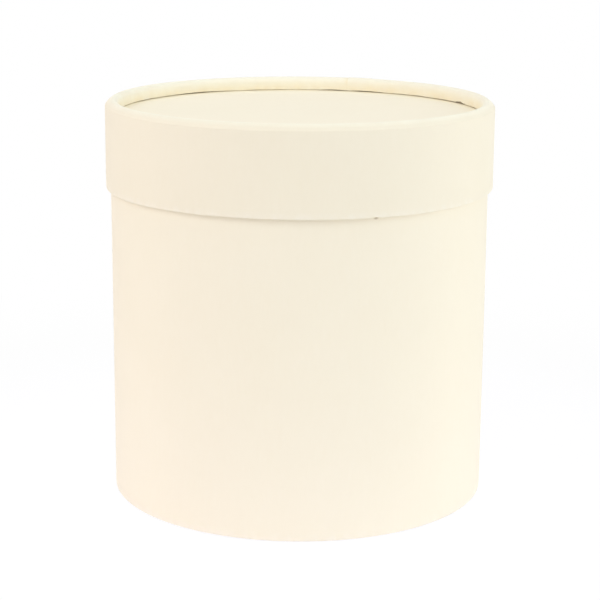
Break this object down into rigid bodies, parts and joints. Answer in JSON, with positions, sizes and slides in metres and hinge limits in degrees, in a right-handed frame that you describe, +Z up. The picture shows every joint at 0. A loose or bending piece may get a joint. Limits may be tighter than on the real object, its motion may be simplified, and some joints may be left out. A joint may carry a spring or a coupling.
{
  "type": "round flower box",
  "caption": "Straight round paper-covered gift box for flowers, with a lift-off lid that has a soft rolled rim round a recessed top.",
  "frame": {"origin": "centre of the underside, which rests on the table", "axes": "+Z up along the axis of the round box, the way the lid lifts off; X and Y are alike"},
  "size_m": [0.18, 0.18, 0.185],
  "materials": {
    "cover_paper": "matte",
    "lining_paper": "matte",
    "grey_board": "matte"
  },
  "bodies": {
    "box": {"body_tube": "grey_board", "base_disc": "grey_board", "body_cover_paper": "cover_paper", "body_lining_paper": "lining_paper", "floor_lining_paper": "lining_paper", "base_under_paper": "cover_paper"},
    "lid": {"lid_tube": "grey_board", "lid_cover_paper": "cover_paper", "lid_top_disc": "grey_board", "lid_top_paper": "cover_paper", "lid_lining_disc": "lining_paper", "lid_lining_strip": "lining_paper"}
  },
  "joints": [
    {"name": "lid_lift", "type": "slide", "parent": "box", "child": "lid", "axis": [0, 0, 1], "range_m": [0, 0.1]}
  ]
}
